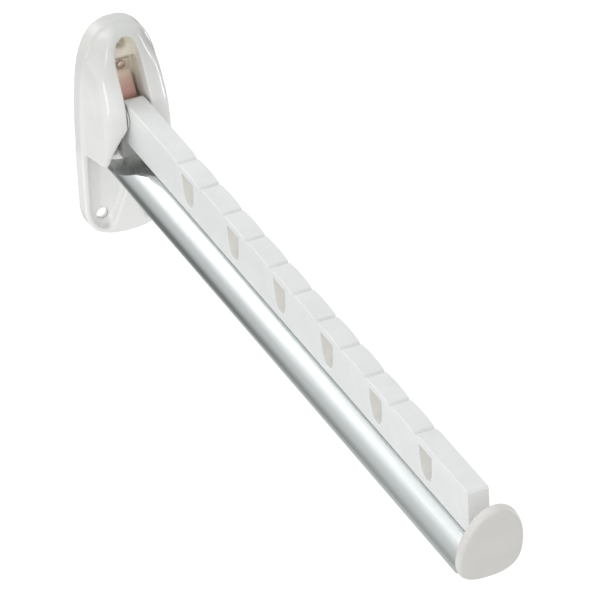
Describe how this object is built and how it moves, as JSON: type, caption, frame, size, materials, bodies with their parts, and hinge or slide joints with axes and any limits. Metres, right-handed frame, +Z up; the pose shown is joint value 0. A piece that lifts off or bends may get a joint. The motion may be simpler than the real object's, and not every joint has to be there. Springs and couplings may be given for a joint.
{
  "type": "wall-mounted folding hanger arm",
  "caption": "Wall bracket with a hinged arm that folds up: a drop-shaped channel under a notched hanger rail with through windows and a leaning end cap.",
  "frame": {"origin": "on the wall face of the bracket, on its middle line, at the height of the joint between the hanger rail and the aluminium channel", "axes": "+Y into the wall, so the arm reaches out along -Y at rest; +Z up; +X to the right seen from the room"},
  "size_m": [0.0364, 0.3437, 0.0945],
  "materials": {
    "bracket_plastic": "glossy off-white moulded ABS",
    "rail_plastic": "satin white moulded plastic",
    "cap_plastic": "satin off-white moulded plastic",
    "anodised": "satin silver anodised extrusion",
    "steel": "zinc-plated steel",
    "spring_bronze": "rolled spring bronze",
    "nylon": "natural nylon",
    "stop_rubber": "grey thermoplastic rubber"
  },
  "bodies": {
    "bracket": {"bracket_shell": "bracket_plastic", "back_plate": "bracket_plastic", "hinge_pin": "steel", "detent_leaf": "spring_bronze", "leaf_screw": "steel", "stop_pad": "stop_rubber"},
    "arm": {"hanger_rail": "rail_plastic", "arm_channel": "anodised", "end_cap": "cap_plastic", "channel_screw": "steel", "pivot_bush_left": "nylon", "pivot_bush_right": "nylon"}
  },
  "joints": [
    {"name": "arm_fold", "type": "hinge", "parent": "bracket", "child": "arm", "pos_m": [0, -0.0214, 0.0134], "axis": [-1, 0, 0], "range_deg": [0, 90]}
  ]
}
